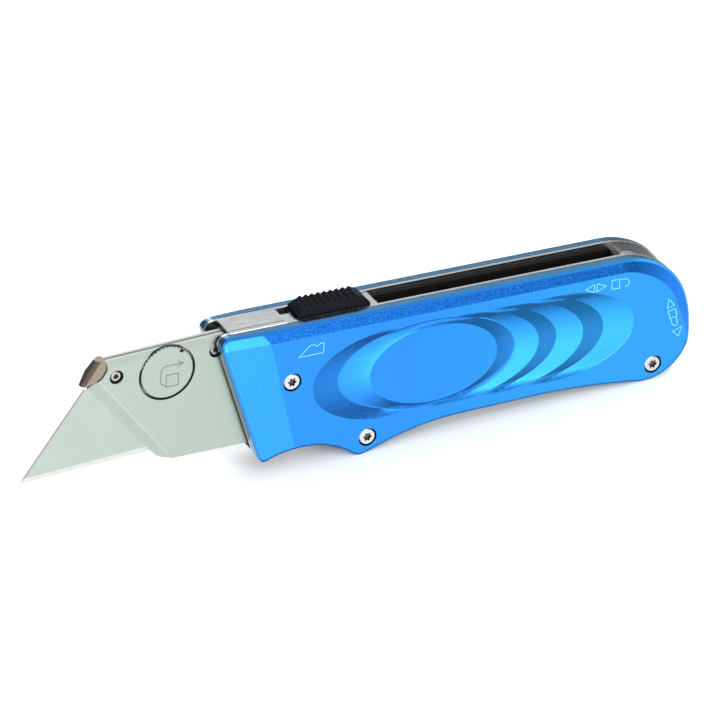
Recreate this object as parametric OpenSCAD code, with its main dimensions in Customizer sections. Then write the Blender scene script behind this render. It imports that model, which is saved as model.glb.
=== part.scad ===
// Folding-frame utility knife with a sliding carriage, a thumb slider, a blade lock wheel and a
// trapezoid blade. Millimetres. X runs along the slide towards the tail, Y across the thickness
// (-Y is the left side), Z up towards the thumb slider. The origin is the centre of the whole
// object's box with the blade out.

/* [Handle] */
// Thickness of the whole handle
handle_t = 13.4; // [13:0.1:14]
// Thickness of each moulded scale
scale_t = 3.1; // [2.8:0.1:3.3]
// Thickness of each steel liner
liner_t = 0.7; // [0.5:0.1:0.8]
// Drop of the bevel along the top and the tail, measured across the thickness
bevel_t = 1.1; // [0.6:0.1:1.4]
// Width of that bevel on the face
bevel_w = 2.5; // [1.5:0.1:3]
// Length of the steel bridge over the front of the slot
bridge_l = 13.4; // [8:0.1:13.6]

/* [Carriage] */
// Thickness of the whole blade carrier
carrier_t = 3.4; // [3.2:0.1:3.4]
// Thickness of the blade pocket between the two carrier plates
pocket_t = 0.7; // [0.66:0.02:0.8]
// Travel of the carriage from blade out to blade in
travel = 56; // [40:1:56]
// Radius of the lock wheel
wheel_r = 6.1; // [5.5:0.1:6.2]
// Length of the thumb slider along its base
slider_l = 17; // [16.4:0.1:17]
// Width of the thumb slider
slider_w = 5.3; // [5.1:0.1:5.4]
// Depth that the thumb slider presses in
press = 0.5; // [0.3:0.1:0.5]

/* [Blade] */
// Length of the blade's sharp edge
blade_l = 61; // [60:0.5:61]
// Height of the blade from edge to back
blade_h = 19; // [18:0.1:19]
// Length of the blade's back
blade_back = 30.4; // [30:0.1:33]
// Thickness of the blade
blade_t = 0.6; // [0.5:0.05:0.65]
// Width of the ground band along the sharp edge
grind_w = 1.3; // [0.8:0.1:2]

/* [Screws] */
// Radius of the handle screws' heads
head_r = 1.9; // [1.6:0.1:2]
// Radius of the handle screws' shanks
shank_r = 1.1; // [0.9:0.1:1.2]

/* [Hidden] */
$fn = 64;
eps = 0.01;

// Outline of a scale in X and Z: corners, each with the radius that rounds it. The first fixing
// screw is at 0, 0.
top_z = 12.9;
rear_x = 96.8;
outline_corners = [
    [-17.3, top_z, 2.0],     // front of the slot
    [-6.3, -19.1, 1.5],      // front foot
    [5.6, -13.8, 19.4],      // waist for the forefinger
    [16.8, -21.75, 3.0],     // lobe behind the forefinger
    [32.3, -16.6, 60],       // belly
    [69.8, -15.8, 150],      // belly, towards the tail
    [rear_x, -19.3, 10.7],   // tail foot
    [rear_x, top_z, 17.9]];  // tail

// Layers across the thickness, each as the distance from the middle plane
face_y = handle_t / 2;
scale_in_y = face_y - scale_t;
liner_in_y = scale_in_y - liner_t;
carrier_y = carrier_t / 2;
track_in_y = carrier_y + 0.1;
pocket_y = pocket_t / 2;

// Fixing screws of the handle, in X and Z
screw_1 = [0, 0];
screw_2 = [18.8, -17.4];
screw_3 = [88.0, -14.1];
head_h = 1.2;
head_sink = 0.25;
standoff_r = 1.6;
fit_gap = 0.02;

// Bridge and slot
bridge_x = -13.7;
bridge_t = 0.6;
crease_y = 2.1;
crease_w = 0.2;
slot_end_x = 79.5;
slot_end_r = 2.4;
tab_x = 81.8;
tab_r = 2.1;
tail_x = 81.6;
rail_top_z = 11.9;
strip_t = 0.6;
strip_z = rail_top_z + 0.1;
strip_x = [bridge_x + bridge_l + 0.2, 21.5];
strip_front_y = 0.4;
body_rear_x = 23.2;
body_top_z = strip_z;
body_bottom_z = -15.6;

// Guide groove in the tracks, and what runs in it
groove_z = [6.9, 9.5];
groove_y = track_in_y + 0.6;
guide_r = 1.25;
guide_z = (groove_z[0] + groove_z[1]) / 2;
guide_x = [3, 20.5];
lock_pin_r = 0.8;
lock_pin_at = [11.5, groove_z[1] - lock_pin_r - 0.05];
pin_end_y = groove_y - 0.1;

// Blade frame: the tip, and the angle at which the sharp edge rises towards the tail
tip = [-59.6, -15.4];
blade_a = 3.43;
blade_run = (blade_l - blade_back) / 2;

// Carrier outline ahead of the handle
edge_top = [-44.9, 4.8];
edge_bottom = [-29.8, -13.3];
wheel_at = [-27.2, 5.6];
wheel_gap = 0.3;
wheel_t = 0.6;
wheel_in_y = carrier_y - wheel_t - 0.04;
hub_r = 1.8;
washer_r = 3.2;
washer_t = 0.3;
screw_a = [-38.9, 6.9];
screw_b = [-15.9, 8.5];
screw_c = [20, -8];
nose_side_y = 1.35;
tongue = [[-42, 8.0], [-39.4, 8.0], [-39.4, 10.0], [-42, 10.0]];

// Thumb slider
slider_x = 2.6;
slider_z = strip_z + strip_t + press + 0.05;
slider_h = 1.9;
ridge_h = 0.45;
ridge_count = 9;
slider_top_z = slider_z + slider_h + ridge_h;
skirt_y = 2.3;
neck_x = [slider_x + 4.8, slider_x + 11.8];
neck_y = 1.2;
bar_x = [neck_x[0] + 0.3, neck_x[1] - 0.3];
spring_x = [slider_x + 3.2, slider_x + 13.4];
spring_y = 0.9;
spring_leaf_t = 0.2;
spring_h = 2;
rivet_x = [slider_x + 1, slider_x + 15.6];

function unit(v) = v / norm(v);
function xz(p) = [p[0], p[1]];
// Points of the arc that rounds corner v between neighbours a and b with radius r
function fillet(a, v, b, r) =
    let (ua = unit(a - v), ub = unit(b - v), half = acos(ua * ub) / 2,
         c = v + unit(ua + ub) * r / sin(half), pa = v + ua * r / tan(half) - c,
         pb = v + ub * r / tan(half) - c, a0 = atan2(pa[1], pa[0]),
         turn = atan2(pa[0] * pb[1] - pa[1] * pb[0], pa * pb), n = max(3, ceil(abs(turn) / 6)))
    [for (i = [0:n]) c + r * [cos(a0 + turn * i / n), sin(a0 + turn * i / n)]];
function rounded(corners) =
    let (n = len(corners))
    [for (i = [0:n - 1]) each fillet(xz(corners[(i + n - 1) % n]), xz(corners[i]),
        xz(corners[(i + 1) % n]), corners[i][2])];
outline = rounded(outline_corners);
bottom_z = min([for (p = outline) p[1]]);
shift = [-(tip[0] + rear_x) / 2, 0, -(bottom_z + slider_top_z) / 2];

// A point given along and square to the blade's edge, as X and Z
function on_blade(s, h) =
    tip + [s * cos(blade_a) - h * sin(blade_a), s * sin(blade_a) + h * cos(blade_a)];

// Moves a child from the drawing frame, with the first screw at the origin, to the part's frame
module placed() {
    translate(shift) children();
}

// Extrudes a child drawn in X and Z from y0 to y1
module slab(y0, y1) {
    translate([0, y1, 0]) rotate([90, 0, 0]) linear_extrude(height = y1 - y0) children();
}

// A round bar along Y, centred on the X and Z of p
module rod(p, r, y0, y1) {
    translate([p[0], y1, p[1]]) rotate([90, 0, 0]) cylinder(r = r, h = y1 - y0);
}

module on_right() {
    mirror([0, 1, 0]) children();
}

module box_from(low, high) {
    translate(low) cube(high - low);
}

// A screw along Y with its head at y0 and its tip at y1, y1 above y0
module screw(p, y0, y1) {
    difference() {
        union() {
            rod(p, head_r, y0, y0 + head_h);
            rod(p, shank_r, y0 + head_h - eps, y1);
        }
        rod(p, 0.8, y0 - 1, y0 + 0.7);
    }
}

// Room for such a screw
module screw_hole(p, y0, y1) {
    rod(p, head_r + 0.2, y0 - 2, y0 + head_h + fit_gap);
    rod(p, shank_r + fit_gap, y0, y1 + fit_gap);
}

// Section that the bevel takes off: x is outwards from the outline, y outwards from the face
module bevel_section() {
    polygon([[-bevel_w, 0], [1, -bevel_t * (bevel_w + 1) / bevel_w], [2, 1], [-bevel_w, 1]]);
}

// What the bevel takes off a left scale, along the top and round the upper tail
module bevel_waste() {
    tail_r = outline_corners[7][2];
    tail_c = [rear_x - tail_r, top_z - tail_r];
    translate([-30, -face_y, top_z]) rotate([90, 0, 90])
        linear_extrude(height = 30 + tail_c[0]) rotate(90) bevel_section();
    intersection() {
        translate([tail_c[0], -face_y, tail_c[1]]) rotate([90, 0, 0]) rotate_extrude()
            translate([tail_r, 0]) bevel_section();
        box_from([tail_c[0], -face_y - 2, tail_c[1]], [rear_x + 3, 0, top_z + 3]);
    }
}

module scale_body() {
    screw_y = -face_y + head_sink;
    difference() {
        slab(-face_y, -scale_in_y) polygon(outline);
        bevel_waste();
        for (p = [screw_1, screw_2, screw_3]) screw_hole(p, screw_y, 0);
    }
}

module left_scale() {
    color([0.16, 0.52, 0.93]) placed() scale_body();
}

module right_scale() {
    color([0.16, 0.52, 0.93]) placed() on_right() scale_body();
}

module liner_plate() {
    difference() {
        slab(-scale_in_y, -liner_in_y) polygon(outline);
        for (p = [screw_1, screw_2, screw_3]) rod(p, shank_r + fit_gap, -face_y, 0);
    }
}

// The left liner carries the folded bridge over the slot's front and a round tab at its end
module left_liner() {
    color([0.75, 0.78, 0.78]) placed() {
        liner_plate();
        difference() {
            box_from([bridge_x, -liner_in_y - liner_t, top_z - bridge_t],
                [bridge_x + bridge_l, liner_in_y, top_z]);
            box_from([bridge_x + 0.3, -crease_y - crease_w, top_z - crease_w],
                [bridge_x + bridge_l - 0.3, -crease_y, top_z + 1]);
        }
        intersection() {
            slab(-liner_in_y - liner_t, 0) difference() {
                polygon(outline);
                translate([0, -bridge_t]) polygon(outline);
            }
            translate([tab_x, -scale_in_y, 0]) cylinder(r = tab_r, h = 20);
        }
    }
}

module right_liner() {
    color([0.75, 0.78, 0.78]) placed() on_right() liner_plate();
}

// Lining between a liner and the carriage, with the groove that guides it
module track() {
    difference() {
        slab(-liner_in_y, -track_in_y) intersection() {
            offset(delta = -0.5) polygon(outline);
            translate([-20, -14.9]) square([slot_end_x + 20 - 0.1, rail_top_z + 14.9]);
        }
        box_from([guide_x[0] - guide_r - 0.2, -groove_y, groove_z[0]],
            [guide_x[1] + travel + guide_r + 0.2, 0, groove_z[1]]);
        rod(screw_1, shank_r + fit_gap, -face_y, 0);
    }
}

module left_track() {
    color([0.1, 0.1, 0.11]) placed() track();
}

module right_track() {
    color([0.1, 0.1, 0.11]) placed() on_right() track();
}

// Spacer between the liners from x0 to x1, below the carriage's path
module spacer(x0, x1) {
    slab(-liner_in_y, liner_in_y) intersection() {
        offset(delta = -0.3) polygon(outline);
        translate([x0, -30]) square([x1 - x0, body_bottom_z - 0.3 + 30]);
    }
}

module front_spacer() {
    color([0.1, 0.1, 0.11]) placed() spacer(-10, 1.5);
}

module lobe_spacer() {
    color([0.1, 0.1, 0.11]) placed() difference() {
        spacer(8, 30);
        rod(screw_2, standoff_r + fit_gap, -face_y, face_y);
    }
}

// Steel back of the handle: closes the tail and ends the slot
module tail_spacer() {
    color([0.55, 0.57, 0.57]) placed() difference() {
        slab(-liner_in_y, liner_in_y) difference() {
            offset(delta = -0.35) polygon(outline);
            translate([-30, -30]) square([tail_x + 30, 38.5]);
            translate([-30, 0]) square([slot_end_x + 30, 30]);
            difference() {
                translate([slot_end_x - 1, top_z - slot_end_r - 0.35])
                    square([slot_end_r + 1, slot_end_r + 1]);
                translate([slot_end_x + slot_end_r, top_z - slot_end_r - 0.35])
                    circle(r = slot_end_r);
            }
        }
        rod(screw_3, standoff_r + fit_gap, -face_y, face_y);
        translate([tab_x, -scale_in_y, top_z - 8])
            cylinder(r = tab_r + 0.1, h = 20);
    }
}

// Threaded sleeves that the lobe and tail screws hold
module standoffs() {
    color([0.7, 0.72, 0.72]) placed() for (p = [screw_2, screw_3]) difference() {
        rod(p, standoff_r, -liner_in_y, liner_in_y);
        rod(p, shank_r + fit_gap, -face_y, face_y);
    }
}

module handle_screws() {
    y0 = -face_y + head_sink;
    screw(screw_1, y0, -track_in_y - 0.2);
    screw(screw_2, y0, -0.3);
    screw(screw_3, y0, -0.3);
}

module left_screws() {
    color([0.82, 0.83, 0.83]) placed() handle_screws();
}

module right_screws() {
    color([0.82, 0.83, 0.83]) placed() on_right() handle_screws();
}

// Outline of the carrier plates: nose, slanted front, bottom, and the body inside the handle
carrier_outline = [
    edge_top, edge_bottom, [-28.3, -14.8], [-26.9, -15.35], [-24.8, body_bottom_z],
    [7, body_bottom_z], [12, -12], [body_rear_x, -12], [body_rear_x, 11], [21.3, body_top_z],
    [-14.5, body_top_z], [-41.2, 10.85], [-41.0, 9.0], [-42.1, 7.2], [-43.6, 6.2]];

// Swept room of the blade, which can be drawn out forwards along its own edge
module blade_room(gap) {
    polygon([on_blade(-60, -5), on_blade(blade_l + gap, -5), on_blade(blade_l + gap, 0),
        on_blade(blade_l - blade_run + gap, blade_h + gap), on_blade(-60, blade_h + gap)]);
}

// One carrier plate, drawn on the left side
module carrier_plate() {
    top_a = [-42, 9.6];
    top_b = [-14, 10.95];
    top_bevel_a = 30;
    front_a = [-43, 6.8];
    front_b = [-25.5, -15.3];
    front_bevel_a = 25.5;
    difference() {
        slab(-carrier_y, -pocket_y) polygon(carrier_outline);
        translate([top_a[0], -carrier_y, top_a[1]])
            rotate([0, -atan2(top_b[1] - top_a[1], top_b[0] - top_a[0]), 0])
            rotate([-top_bevel_a, 0, 0]) translate([-10, -5, 0]) cube([38, 5, 6]);
        translate([front_b[0], -carrier_y, front_b[1]])
            rotate([0, -atan2(front_a[1] - front_b[1], front_a[0] - front_b[0]), 0])
            rotate([-front_bevel_a, 0, 0]) translate([-10, -5, 0]) cube([50, 5, 8]);
        for (x = guide_x) rod([x, guide_z], guide_r + fit_gap, -5, 5);
        slab(-5, 5) translate([lock_pin_at[0] - 1, groove_z[0]])
            square([2, groove_z[1] - groove_z[0]]);
    }
}

module carrier_left_plate() {
    color([0.73, 0.77, 0.75]) placed() difference() {
        carrier_plate();
        rod(wheel_at, wheel_r + wheel_gap, -carrier_y - 1, -wheel_in_y);
        rod(wheel_at, hub_r + 0.04, -5, 5);
        rod(wheel_at, washer_r + 0.1, -pocket_y - washer_t - 0.04, 5);
        for (p = [screw_a, screw_b, screw_c]) {
            rod(p, 1.6, -5, -carrier_y + 0.7);
            rod(p, 0.8 + fit_gap, -5, 5);
        }
    }
}

module carrier_right_plate() {
    color([0.73, 0.77, 0.75]) placed() difference() {
        on_right() carrier_plate();
        for (p = [screw_a, screw_b, screw_c]) rod(p, 0.8 + fit_gap, -5, 5);
        rod(on_blade(30, 9), 2.5 + fit_gap, 0, 1.2);
    }
}

// Middle layer: fills the pocket above and behind the blade
module carrier_core() {
    color([0.4, 0.42, 0.43]) placed() difference() {
        slab(-pocket_y, pocket_y) difference() {
            polygon(carrier_outline);
            blade_room(0.1);
            offset(delta = 0.03) polygon(tongue);
            translate([bar_x[0] - 0.1, groove_z[0] - 0.3]) square([bar_x[1] - bar_x[0] + 0.2, 8]);
        }
        for (p = [screw_a, screw_b, screw_c]) rod(p, 0.8 + fit_gap, -5, 5);
        for (x = guide_x) rod([x, guide_z], guide_r + fit_gap, -5, 5);
    }
}

// Copper-brown nose that closes the carrier's top front corner over the blade's shoulder; its
// tongue is held between the carrier plates
module nose_block() {
    color([0.58, 0.5, 0.42]) placed() difference() {
        union() {
            slab(-nose_side_y, nose_side_y) polygon([[-46.6, 5.6], [-45.2, 8.6], [-43.3, 11.0],
                [-41.35, 11.05], [-41.15, 9.0], [-42.25, 7.2], [-43.75, 6.2]]);
            slab(-pocket_y + fit_gap, pocket_y - fit_gap) polygon(tongue);
        }
        for (s = [-1, 1]) translate([-46.6, s * 0.5, 5.6]) rotate([0, -57, 0])
            rotate([s * 62, 0, 0]) translate([-4, s > 0 ? 0 : -4, -2]) cube([14, 4, 2]);
    }
}

module carrier_screws() {
    color([0.82, 0.83, 0.83]) placed() for (p = [screw_a, screw_b, screw_c]) difference() {
        union() {
            rod(p, 1.45, -carrier_y + 0.05, -carrier_y + 0.65);
            rod(p, 0.8, -carrier_y + 0.6, carrier_y - 0.1);
        }
        rod(p, 0.6, -5, -carrier_y + 0.4);
    }
}

module guide_pins() {
    color([0.8, 0.7, 0.45]) placed()
        for (x = guide_x) rod([x, guide_z], guide_r, -pin_end_y, pin_end_y);
}

// Steel strip in the slot that the thumb slider rides on, narrow where the slider straddles it
module slide_strip() {
    y = liner_in_y - 0.1;
    narrow_y = skirt_y - 0.1;
    color([0.75, 0.78, 0.78]) placed() difference() {
        box_from([strip_x[0], -y, strip_z], [strip_x[1], y, strip_z + strip_t]);
        box_from([strip_x[0] - 1, strip_front_y, 0], [slider_x - 0.2, 5, 20]);
        for (s = [0, 1]) mirror([0, s, 0])
            box_from([slider_x - 0.2, narrow_y, 0], [slider_x + slider_l + 0.2, 5, 20]);
        box_from([neck_x[0] - 0.1, -neck_y - 0.1, 0], [neck_x[1] + 0.1, neck_y + 0.1, 20]);
        for (x = rivet_x) translate([x, 0, 0]) cylinder(r = 0.6 + fit_gap, h = 20);
    }
}

module strip_rivets() {
    color([0.8, 0.81, 0.8]) placed() for (x = rivet_x)
        translate([x, 0, strip_z]) cylinder(r = 0.6, h = strip_t);
}

module blade_magnet() {
    color([0.3, 0.3, 0.32]) placed() rod(on_blade(30, 9), 2.5, pocket_y + 0.02, 1.2);
}

// Bowed leaf springs that lift the thumb slider: open rings that stand on the strip
module button_springs() {
    r = spring_h / 2;
    color([0.7, 0.72, 0.72]) placed() for (x = spring_x) let (c = [x, strip_z + strip_t + r])
        difference() {
            rod(c, r, -spring_y, spring_y);
            rod(c, r - spring_leaf_t, -5, 5);
            box_from([x, -5, c[1] - 0.35], [x + 2 * r, 5, c[1] + 0.35]);
        }
}

module thumb_slider() {
    ridge_x = slider_x + 1.8;
    pitch = (slider_l - 4) / ridge_count;
    wall_y = slider_w / 2;
    side = 0.5;
    color([0.12, 0.12, 0.13]) placed() difference() {
        union() {
            hull() {
                box_from([slider_x, -wall_y, slider_z],
                    [slider_x + slider_l, wall_y, slider_z + 0.6]);
                box_from([slider_x + 1.7, -wall_y + side, slider_z],
                    [slider_x + slider_l - 1.9, wall_y - side, slider_z + slider_h]);
            }
            rotate([90, 0, 0]) translate([0, 0, -wall_y + side])
                linear_extrude(height = slider_w - 2 * side)
                polygon([[ridge_x, slider_z + 1], for (i = [0:ridge_count - 1]) each
                    [[ridge_x + pitch * i, slider_z + slider_h],
                     [ridge_x + pitch * (i + 0.4), slider_top_z]],
                    [ridge_x + pitch * ridge_count, slider_z + slider_h],
                    [ridge_x + pitch * ridge_count, slider_z + 1]]);
            for (s = [0, 1]) mirror([0, s, 0]) box_from([slider_x, skirt_y, strip_z + strip_t - 0.05],
                [slider_x + slider_l, wall_y, slider_z + eps]);
            box_from([neck_x[0], -neck_y, strip_z + press + 0.05],
                [neck_x[1], neck_y, slider_z + eps]);
        }
        box_from([bar_x[0] - fit_gap, -0.35, 0], [bar_x[1] + fit_gap, 0.35, slider_z + 0.6]);
        for (x = spring_x) box_from([x - spring_h / 2 - 0.1, -spring_y - 0.1, 0],
            [x + spring_h / 2 + 0.1, spring_y + 0.1, strip_z + strip_t + spring_h + 0.02]);
    }
}

// Flat steel bar under the slider that carries the lock pin between the carrier plates
module lock_bar() {
    color([0.6, 0.62, 0.63]) placed() difference() {
        box_from([bar_x[0], -0.32, lock_pin_at[1] - 1.15], [bar_x[1], 0.32, slider_z + 0.58]);
        rod(lock_pin_at, lock_pin_r + fit_gap, -5, 5);
    }
}

module lock_pin() {
    color([0.8, 0.81, 0.8]) placed() rod(lock_pin_at, lock_pin_r, -pin_end_y, pin_end_y);
}

// Wheel let into the left plate: its milled rim stands proud of the top bevel
module lock_wheel() {
    teeth = 14;
    color([0.72, 0.76, 0.74]) placed() difference() {
        union() {
            rod(wheel_at, wheel_r, -carrier_y + 0.02, -wheel_in_y - 0.02);
            rod(wheel_at, hub_r, -wheel_in_y - 0.03, -pocket_y - washer_t);
        }
        for (i = [0:teeth - 1]) let (a = 50 + 110 * i / (teeth - 1))
            rod(wheel_at + wheel_r * [cos(a), sin(a)], 0.28, -5, 5);
    }
}

// Washer staked to the wheel's hub inside the plate; it grips the blade when the wheel is turned
module cam_washer() {
    color([0.7, 0.72, 0.72]) placed()
        rod(wheel_at, washer_r, -pocket_y - washer_t, -pocket_y - 0.03);
}

module blade() {
    grind_a = atan2(blade_t / 2, grind_w);
    color([0.8, 0.82, 0.8]) placed() difference() {
        slab(-blade_t / 2, blade_t / 2) difference() {
            polygon([on_blade(0, 0), on_blade(blade_l, 0), on_blade(blade_l - blade_run, blade_h),
                on_blade(blade_run, blade_h)]);
            for (s = [-3.2, 3.2]) translate(on_blade(blade_l / 2 + s, blade_h)) circle(r = 1.3);
        }
        for (s = [-1, 1]) translate([tip[0], 0, tip[1]]) rotate([0, -blade_a, 0])
            rotate([-s * grind_a, 0, 0]) translate([-5, s > 0 ? 0 : -3, -4])
            cube([blade_l + 10, 3, 4 + 3]);
    }
}

left_scale();
right_scale();
left_liner();
right_liner();
left_track();
right_track();
front_spacer();
lobe_spacer();
tail_spacer();
standoffs();
left_screws();
right_screws();
carrier_left_plate();
carrier_right_plate();
carrier_core();
nose_block();
carrier_screws();
guide_pins();
slide_strip();
strip_rivets();
blade_magnet();
button_springs();
thumb_slider();
lock_bar();
lock_pin();
lock_wheel();
cam_washer();
blade();
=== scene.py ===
"""Looks of the utility knife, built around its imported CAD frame.

Shapes are drawn in millimetres from the first handle screw: x towards the tail, z up, and y is the
distance from the handle's middle plane, negative on the left side. place() brings them to the frame.
"""

import math

import bmesh
import bpy
import numpy as np
from mathutils import Matrix, Vector, geometry, kdtree


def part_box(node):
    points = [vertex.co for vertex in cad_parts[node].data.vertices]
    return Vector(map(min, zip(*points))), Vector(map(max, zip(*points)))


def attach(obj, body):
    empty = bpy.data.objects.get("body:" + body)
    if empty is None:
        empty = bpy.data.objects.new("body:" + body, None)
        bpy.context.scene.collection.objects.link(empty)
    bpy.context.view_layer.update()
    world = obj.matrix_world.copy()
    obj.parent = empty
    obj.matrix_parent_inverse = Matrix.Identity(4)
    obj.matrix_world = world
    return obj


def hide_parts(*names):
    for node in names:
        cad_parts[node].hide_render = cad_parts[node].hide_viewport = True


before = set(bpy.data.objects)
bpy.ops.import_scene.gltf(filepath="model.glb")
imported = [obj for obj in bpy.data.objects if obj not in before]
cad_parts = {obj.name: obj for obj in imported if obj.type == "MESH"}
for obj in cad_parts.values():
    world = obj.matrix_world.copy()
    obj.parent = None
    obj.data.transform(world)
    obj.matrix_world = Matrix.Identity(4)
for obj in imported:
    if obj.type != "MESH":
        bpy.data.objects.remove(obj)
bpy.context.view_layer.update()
MM = 0.001

# ---------------------------------------------------------------- places taken from the CAD frame
scale_low, scale_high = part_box("left_scale")
TOP, REAR = 12.9, 96.8
ORIGIN = (scale_high.x / MM - REAR, 0.0, scale_high.z / MM - TOP)
# The sculpted face lies a little under the CAD face, so that what is laid on it stays in the box
FACE_SINK = 0.02
FACE = -scale_low.y / MM - FACE_SINK
INNER = -scale_high.y / MM


def place(points):
    """Drawing millimetres to the row frame's metres."""
    return (np.asarray(points, float) + ORIGIN) * MM


# ---------------------------------------------------------------- small mesh tools
def add_mesh(name, points, faces, body, materials, stands_for=(), slot=None, sharp=20, which=None):
    """A piece from drawing points; which gives each face's material when there are several."""
    mesh = bpy.data.meshes.new(name)
    corners = [tuple(int(i) for i in f) for f in faces]
    mesh.from_pydata([tuple(p) for p in place(points)], [], corners)
    for m in materials:
        mesh.materials.append(m)
    if which is not None:
        mesh.polygons.foreach_set("material_index", np.asarray(which, np.int32))
    mesh.validate()
    mesh.shade_smooth()
    mesh.set_sharp_from_angle(angle=math.radians(sharp))
    piece = bpy.data.objects.new(name, mesh)
    bpy.context.scene.collection.objects.link(piece)
    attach(piece, body)
    if stands_for:
        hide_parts(*stands_for)
    return piece


def crease(piece, line, angle):
    """Makes edges between the line's points sharp where their faces meet at more than angle."""
    bm = bmesh.new()
    bm.from_mesh(piece.data)
    for e in bm.edges:
        if e.verts[0].index in line and e.verts[1].index in line:
            if e.calc_face_angle(0) > math.radians(angle):
                e.smooth = False
    bm.to_mesh(piece.data)
    bm.free()


def rounded(corners, step, fewest=6):
    """Closed outline with each corner (x, z, radius) rounded, in steps no longer than step."""
    arcs = []
    for i, (x, z, r) in enumerate(corners):
        v = Vector((x, z))
        ua = (Vector(corners[i - 1][:2]) - v).normalized()
        ub = (Vector(corners[(i + 1) % len(corners)][:2]) - v).normalized()
        half = ua.angle(ub) / 2
        c = v + (ua + ub).normalized() * r / math.sin(half)
        a, b = v + ua * r / math.tan(half) - c, v + ub * r / math.tan(half) - c
        a0, turn = math.atan2(a.y, a.x), math.atan2(a.x * b.y - a.y * b.x, a.dot(b))
        n = max(fewest, math.ceil(abs(turn) * r / step))
        arcs += [c + r * Vector((math.cos(a0 + turn * k / n), math.sin(a0 + turn * k / n)))
                 for k in range(n + 1)]
    return even(np.array(arcs), step, closed=True)


def even(line, step, closed=False):
    """The same line with points added so that no step is longer than step."""
    line = np.asarray(line, float)
    ends = np.roll(line, -1, 0) if closed else line[1:]
    out = []
    for a, b in zip(line, ends):
        n = max(1, math.ceil(np.linalg.norm(b - a) / step - 1e-6))
        out += [a + (b - a) * k / n for k in range(n)]
    if not closed:
        out.append(line[-1])
    return np.array(out)


def inset(loop, d):
    """A counterclockwise loop moved inwards by d."""
    t = np.roll(loop, -1, 0) - np.roll(loop, 1, 0)
    t /= np.linalg.norm(t, axis=1)[:, None]
    return loop + d * np.stack([-t[:, 1], t[:, 0]], 1)


def ring(x, z, r, n):
    """A counterclockwise circle of n points."""
    a = np.arange(n) * 2 * math.pi / n
    return np.stack([x + r * np.cos(a), z + r * np.sin(a)], 1)


def inside(points, loop):
    """Whether each point lies inside the closed loop."""
    odd = np.zeros(len(points), bool)
    for a, b in zip(loop, np.roll(loop, -1, 0)):
        if a[1] != b[1]:
            over = (points[:, 1] < a[1]) != (points[:, 1] < b[1])
            crossing = a[0] + (points[:, 1] - a[1]) * (b[0] - a[0]) / (b[1] - a[1])
            odd ^= over & (points[:, 0] < crossing)
    return odd


def near(points, others, d):
    """Whether each point has one of the others closer than d."""
    tree = kdtree.KDTree(len(others))
    for i, p in enumerate(others):
        tree.insert((p[0], p[1], 0), i)
    tree.balance()
    return np.array([tree.find((p[0], p[1], 0))[2] < d for p in points], bool)


def fill(outer, holes, marks, step, clear=0.12):
    """Triangles between the outer loop and the holes, with edges along the marks where these are
    clear of the loops. Returns the points, the triangles, and where each loop's points went."""
    loops = [outer, *holes]
    edge_points = np.concatenate(loops)
    lines = []
    for m in marks:
        ok = inside(m, outer) & ~near(m, edge_points, clear)
        for run in np.split(np.arange(len(m)), np.where(~ok)[0]):
            run = [i for i in run if ok[i]]
            if len(run) > 1:
                lines.append(m[run])
    low, high = outer.min(0), outer.max(0)
    gx, gz = np.meshgrid(np.arange(low[0], high[0], step), np.arange(low[1], high[1], step * 0.87))
    gx[1::2] += step / 2
    grid = np.stack([gx.ravel(), gz.ravel()], 1)
    grid = grid[inside(grid, outer)]
    grid = grid[~near(grid, np.concatenate([edge_points, *lines]), step * 0.55)]
    points, edges, places = [], [], []
    for line, closed in [(l, True) for l in loops] + [(l, False) for l in lines]:
        first, n = len(points), len(line)
        points += [Vector(p) for p in line]
        edges += [(first + i, first + (i + 1) % n) for i in range(n if closed else n - 1)]
        places.append(range(first, first + n))
    points += [Vector(p) for p in grid]
    out = geometry.delaunay_2d_cdt(points, edges, [], 0, 1e-6)
    where = {old: new for new, olds in enumerate(out[3]) for old in olds}
    flat = np.array([(p.x, p.y) for p in out[0]])
    tri = np.array(out[2])
    middle = flat[tri].mean(1)
    keep = inside(middle, outer)
    for h in holes:
        keep &= ~inside(middle, h)
    return flat, tri[keep], [[where[i] for i in places[k]] for k in range(len(loops))]


class Shell:
    """Collects points and faces of one piece that is built from loops. which holds each face's
    material, and creases the points whose lines are made sharp."""

    def __init__(self):
        self.points, self.faces, self.which, self.creases = [], [], [], set()

    def add(self, flat, y):
        """Adds a row of (x, z) points at depth y and returns their numbers."""
        first = len(self.points)
        y = np.broadcast_to(y, len(flat))
        self.points += [(p[0], h, p[1]) for p, h in zip(flat, y)]
        return list(range(first, first + len(flat)))

    def strip(self, a, b, kind=0):
        """Faces between two closed rows of the same length."""
        for i in range(len(a)):
            j = (i + 1) % len(a)
            self.faces.append((a[i], b[i], b[j], a[j]))
            self.which.append(kind)

    def face(self, loop, kind=0):
        self.faces.append(tuple(loop))
        self.which.append(kind)

    def mirrored(self):
        """The same piece on the right side."""
        other = Shell()
        other.points = [(x, -y, z) for x, y, z in self.points]
        other.faces = [tuple(reversed(f)) for f in self.faces]
        other.which = list(self.which)
        other.creases = self.creases
        return other

    def make(self, name, body, materials, **more):
        return add_mesh(name, self.points, self.faces, body, materials, which=self.which, **more)


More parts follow.
